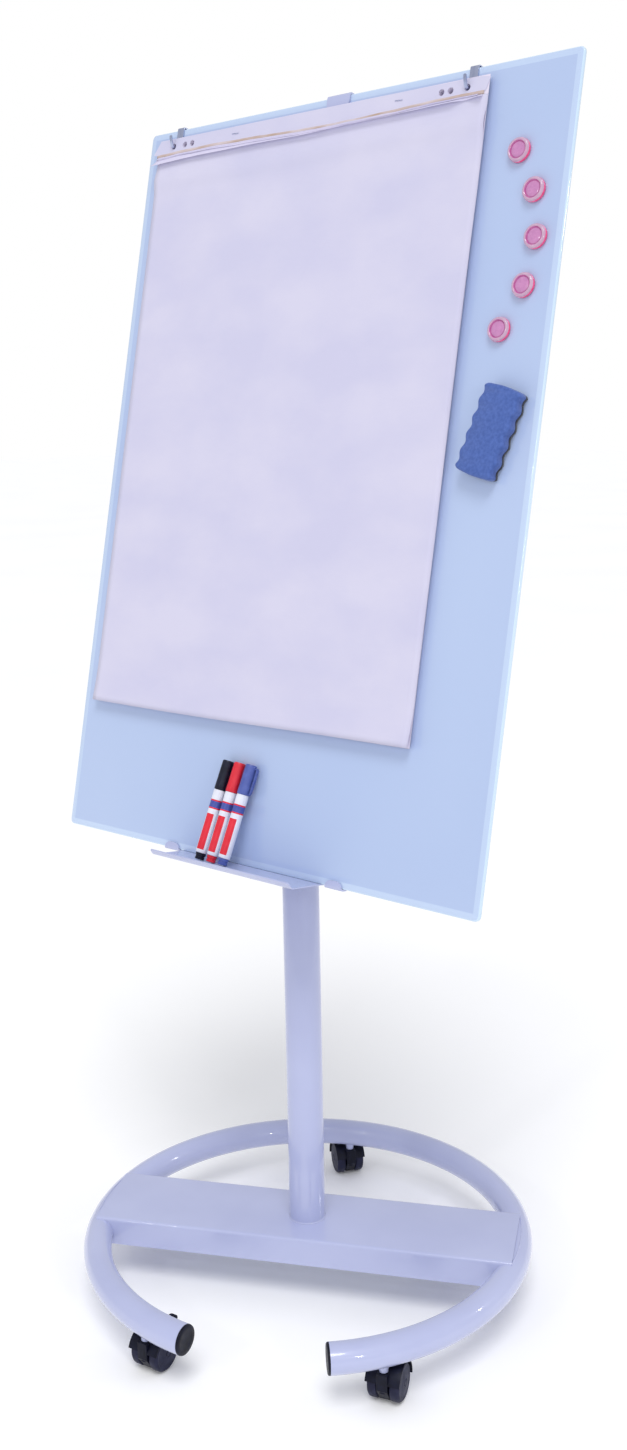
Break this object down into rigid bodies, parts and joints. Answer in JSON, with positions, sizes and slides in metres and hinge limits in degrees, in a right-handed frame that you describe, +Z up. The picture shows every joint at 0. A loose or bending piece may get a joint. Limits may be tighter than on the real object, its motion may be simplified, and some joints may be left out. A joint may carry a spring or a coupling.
{
  "type": "flipchart easel",
  "caption": "Mobile flipchart easel: tilting glass board on a height-adjustable column and an open ring base with castors, with paper pad, magnets, eraser and marker tray.",
  "frame": {"origin": "on the floor under the column axis", "axes": "+X along the board to the viewer's right, -Y out of the board's front, +Z up"},
  "size_m": [0.746, 0.6519, 1.6846],
  "materials": {
    "painted_steel": "pale lilac gloss paint",
    "glass": "polished safety glass with bright edges",
    "paper": "plain paper",
    "card": "grey-brown card",
    "magnet_pink": "clear pink, glossy",
    "felt": "pressed felt",
    "eraser_foam": "soft foam",
    "marker_white": "satin",
    "black_cap": "satin",
    "red_cap": "satin",
    "blue_cap": "satin",
    "bare_steel": "zinc plated or drawn",
    "black_plastic": "moulded"
  },
  "bodies": {
    "base": {"base_ring": "painted_steel", "crossbar": "painted_steel", "ballast_plate": "bare_steel", "end_cap_left": "black_plastic", "end_cap_right": "black_plastic", "foot_bolt": "bare_steel"},
    "castor_right": {"castor_right_stem": "bare_steel", "castor_right_hood": "black_plastic", "castor_right_axle": "bare_steel"},
    "wheel_right_a": {"castor_right_wheel_a": "black_plastic"},
    "wheel_right_b": {"castor_right_wheel_b": "black_plastic"},
    "brake_right": {"castor_right_brake": "black_plastic"},
    "castor_left": {"castor_left_stem": "bare_steel", "castor_left_hood": "black_plastic", "castor_left_axle": "bare_steel"},
    "wheel_left_a": {"castor_left_wheel_a": "black_plastic"},
    "wheel_left_b": {"castor_left_wheel_b": "black_plastic"},
    "brake_left": {"castor_left_brake": "black_plastic"},
    "castor_rear": {"castor_rear_stem": "bare_steel", "castor_rear_hood": "black_plastic", "castor_rear_axle": "bare_steel"},
    "wheel_rear_a": {"castor_rear_wheel_a": "black_plastic"},
    "wheel_rear_b": {"castor_rear_wheel_b": "black_plastic"},
    "column": {"outer_column": "painted_steel", "foot_plug": "bare_steel", "column_bush": "black_plastic"},
    "height_knob": {"height_knob": "black_plastic"},
    "mast": {"inner_column": "bare_steel", "inner_glide": "black_plastic", "tilt_head": "black_plastic", "tilt_bolt": "bare_steel"},
    "tilt_knob": {"tilt_knob": "black_plastic"},
    "board": {"tilt_bracket": "bare_steel", "spine": "painted_steel", "bottom_bar": "painted_steel", "glass_panel": "glass", "steel_backing": "painted_steel", "top_clip": "painted_steel", "bottom_clip_left": "painted_steel", "bottom_clip_right": "painted_steel", "marker_tray": "painted_steel"},
    "pad": {"hook_left": "bare_steel", "hook_right": "bare_steel", "pad_card_back": "card", "pad_sheets": "paper"},
    "front_sheet": {"front_sheet": "paper"},
    "magnet_1": {"magnet_1": "magnet_pink"},
    "magnet_2": {"magnet_2": "magnet_pink"},
    "magnet_3": {"magnet_3": "magnet_pink"},
    "magnet_4": {"magnet_4": "magnet_pink"},
    "magnet_5": {"magnet_5": "magnet_pink"},
    "eraser": {"eraser_felt": "felt", "eraser_body": "eraser_foam"},
    "marker_black": {"marker_black_barrel": "marker_white"},
    "cap_black": {"marker_black_cap": "black_cap"},
    "marker_red": {"marker_red_barrel": "marker_white"},
    "cap_red": {"marker_red_cap": "red_cap"},
    "marker_blue": {"marker_blue_barrel": "marker_white"},
    "cap_blue": {"marker_blue_cap": "blue_cap"}
  },
  "joints": [
    {"name": "castor_right_swivel", "type": "hinge", "parent": "base", "child": "castor_right", "pos_m": [0.26354, -0.15648, 0.05], "axis": [0, 0, 1], "continuous": true},
    {"name": "wheel_right_a_spin", "type": "hinge", "parent": "castor_right", "child": "wheel_right_a", "pos_m": [0.24456, -0.14385, 0.025], "axis": [0.9483, 0.3173, 0], "continuous": true},
    {"name": "wheel_right_b_spin", "type": "hinge", "parent": "castor_right", "child": "wheel_right_b", "pos_m": [0.27111, -0.13497, 0.025], "axis": [0.9483, 0.3173, 0], "continuous": true},
    {"name": "brake_right_press", "type": "hinge", "parent": "castor_right", "child": "brake_right", "pos_m": [0.24863, -0.11191, 0.027], "axis": [-0.9483, -0.3173, 0], "range_deg": [0, 18]},
    {"name": "castor_left_swivel", "type": "hinge", "parent": "base", "child": "castor_left", "pos_m": [-0.02085, -0.30579, 0.05], "axis": [0, 0, 1], "continuous": true},
    {"name": "wheel_left_a_spin", "type": "hinge", "parent": "castor_left", "child": "wheel_left_a", "pos_m": [-0.03741, -0.29011, 0.025], "axis": [0.9885, 0.1513, 0], "continuous": true},
    {"name": "wheel_left_b_spin", "type": "hinge", "parent": "castor_left", "child": "wheel_left_b", "pos_m": [-0.00973, -0.28588, 0.025], "axis": [0.9885, 0.1513, 0], "continuous": true},
    {"name": "brake_left_press", "type": "hinge", "parent": "castor_left", "child": "brake_left", "pos_m": [-0.02796, -0.25933, 0.027], "axis": [-0.9885, -0.1513, 0], "range_deg": [0, 18]},
    {"name": "castor_rear_swivel", "type": "hinge", "parent": "base", "child": "castor_rear", "pos_m": [-0.14247, 0.27137, 0.05], "axis": [0, 0, 1], "continuous": true},
    {"name": "wheel_rear_a_spin", "type": "hinge", "parent": "castor_rear", "child": "wheel_rear_a", "pos_m": [-0.16525, 0.27023, 0.025], "axis": [0.5736, 0.8192, 0], "continuous": true},
    {"name": "wheel_rear_b_spin", "type": "hinge", "parent": "castor_rear", "child": "wheel_rear_b", "pos_m": [-0.14919, 0.29317, 0.025], "axis": [0.5736, 0.8192, 0], "continuous": true},
    {"name": "column_swivel", "type": "hinge", "parent": "base", "child": "column", "pos_m": [0, 0, 0.115], "axis": [0, 0, 1], "continuous": true},
    {"name": "height_knob_turn", "type": "hinge", "parent": "column", "child": "height_knob", "pos_m": [0, 0.045, 0.676], "axis": [0, 1, 0], "continuous": true},
    {"name": "column_height", "type": "slide", "parent": "column", "child": "mast", "axis": [0, 0, 1], "range_m": [-0.11, 0.25]},
    {"name": "tilt_knob_turn", "type": "hinge", "parent": "mast", "child": "tilt_knob", "pos_m": [0.03, 0, 0.86], "axis": [1, 0, 0], "continuous": true},
    {"name": "board_tilt", "type": "hinge", "parent": "mast", "child": "board", "pos_m": [0, 0, 0.86], "axis": [1, 0, 0], "range_deg": [-15, 12]},
    {"name": "pad_slide", "type": "slide", "parent": "board", "child": "pad", "axis": [1, 0, 0], "range_m": [-0.012, 0.01]},
    {"name": "sheet_flip", "type": "hinge", "parent": "pad", "child": "front_sheet", "pos_m": [-0.046, 0.0996, 1.64542], "axis": [-1, 0, 0], "range_deg": [0, 125]},
    {"name": "magnet_1_pull", "type": "slide", "parent": "board", "child": "magnet_1", "axis": [0, -0.9772, 0.2123], "range_m": [0, 0.04]},
    {"name": "magnet_2_pull", "type": "slide", "parent": "board", "child": "magnet_2", "axis": [0, -0.9772, 0.2123], "range_m": [0, 0.04]},
    {"name": "magnet_3_pull", "type": "slide", "parent": "board", "child": "magnet_3", "axis": [0, -0.9772, 0.2123], "range_m": [0, 0.04]},
    {"name": "magnet_4_pull", "type": "slide", "parent": "board", "child": "magnet_4", "axis": [0, -0.9772, 0.2123], "range_m": [0, 0.04]},
    {"name": "magnet_5_pull", "type": "slide", "parent": "board", "child": "magnet_5", "axis": [0, -0.9772, 0.2123], "range_m": [0, 0.04]},
    {"name": "eraser_pull", "type": "slide", "parent": "board", "child": "eraser", "axis": [0, -0.9772, 0.2123], "range_m": [0, 0.06]},
    {"name": "marker_black_lift", "type": "slide", "parent": "board", "child": "marker_black", "axis": [0, -0.5408, 0.8411], "range_m": [0, 0.12]},
    {"name": "cap_black_pull", "type": "slide", "parent": "marker_black", "child": "cap_black", "axis": [0.0634, 0.388, 0.9195], "range_m": [0, 0.048]},
    {"name": "marker_red_lift", "type": "slide", "parent": "board", "child": "marker_red", "axis": [0, -0.5408, 0.8411], "range_m": [0, 0.12]},
    {"name": "cap_red_pull", "type": "slide", "parent": "marker_red", "child": "cap_red", "axis": [0.0634, 0.388, 0.9195], "range_m": [0, 0.048]},
    {"name": "marker_blue_lift", "type": "slide", "parent": "board", "child": "marker_blue", "axis": [0, -0.5408, 0.8411], "range_m": [0, 0.12]},
    {"name": "cap_blue_pull", "type": "slide", "parent": "marker_blue", "child": "cap_blue", "axis": [0.0634, 0.388, 0.9195], "range_m": [0, 0.048]}
  ],
  "couplings": [
    {"joint": "cap_black_pull", "follows": "marker_black_lift", "ratio": 0.4},
    {"joint": "cap_red_pull", "follows": "marker_red_lift", "ratio": 0.4},
    {"joint": "cap_blue_pull", "follows": "marker_blue_lift", "ratio": 0.4}
  ]
}
